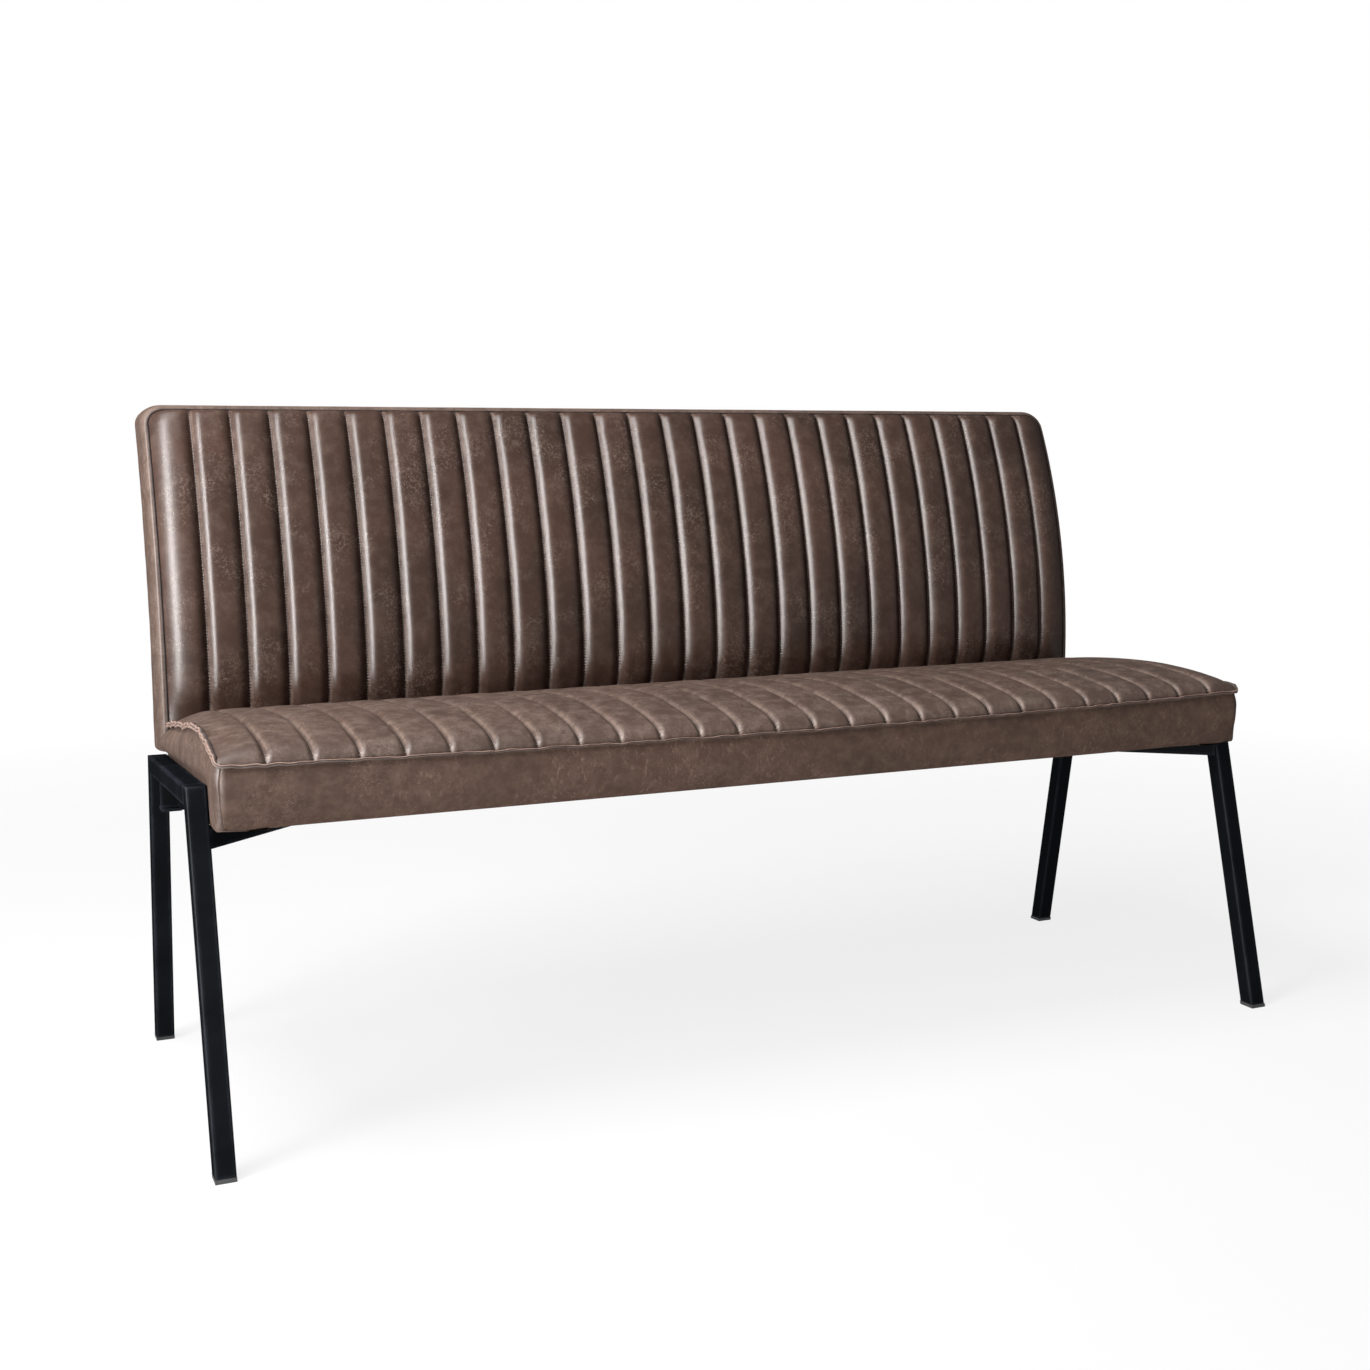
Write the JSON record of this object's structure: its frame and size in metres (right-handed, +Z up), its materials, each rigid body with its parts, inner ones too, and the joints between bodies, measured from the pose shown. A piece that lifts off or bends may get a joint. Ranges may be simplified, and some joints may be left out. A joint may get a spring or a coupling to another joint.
{
  "type": "dining bench",
  "caption": "Upholstered dining bench with a channel-stitched seat and a leaning channelled back on two raked square-tube leg frames",
  "frame": {"origin": "middle of the bench's footprint, on the floor", "axes": "X along the length of the bench, right end at plus X as seen by someone facing its front; Y rearwards, the seat front at minus Y; Z up"},
  "size_m": [1.55, 0.6612, 0.9049],
  "materials": {
    "frame_steel": "satin black powder coat",
    "glide_plastic": "matte black plastic",
    "fastener_steel": "zinc-plated steel",
    "plywood": "raw plywood",
    "dust_cloth": "black non-woven cloth",
    "foam": "open-cell upholstery foam",
    "leather": "distressed brown leather-look, soft sheen",
    "leather_edge": "raw cut edge of the same cover, tan"
  },
  "bodies": {
    "root": {"left_front_leg": "frame_steel", "left_rear_leg": "frame_steel", "left_side_rail": "frame_steel", "right_front_leg": "frame_steel", "right_rear_leg": "frame_steel", "right_side_rail": "frame_steel", "left_front_glide": "glide_plastic", "left_rear_glide": "glide_plastic", "right_front_glide": "glide_plastic", "right_rear_glide": "glide_plastic", "middle_beam": "frame_steel", "rear_tube": "frame_steel", "left_brace": "frame_steel", "right_brace": "frame_steel", "left_rail_hanger": "frame_steel", "right_rail_hanger": "frame_steel", "back_bracket_left": "frame_steel", "back_bracket_right": "frame_steel", "back_screws": "fastener_steel", "seat_bolts": "fastener_steel", "seat_nuts": "fastener_steel", "seat_board": "plywood", "seat_dust_cover": "dust_cloth", "seat_foam": "foam", "seat_top_panel": "leather", "seat_front_boxing": "leather", "seat_left_boxing": "leather", "seat_right_boxing": "leather", "seat_rear_boxing": "leather", "seat_seam_edge": "leather_edge", "back_board": "plywood", "back_foam": "foam", "back_front_panel": "leather", "back_top_boxing": "leather", "back_left_boxing": "leather", "back_right_boxing": "leather", "back_bottom_boxing": "leather", "back_rear_panel": "leather", "back_seam_edge": "leather_edge"}
  },
  "joints": []
}
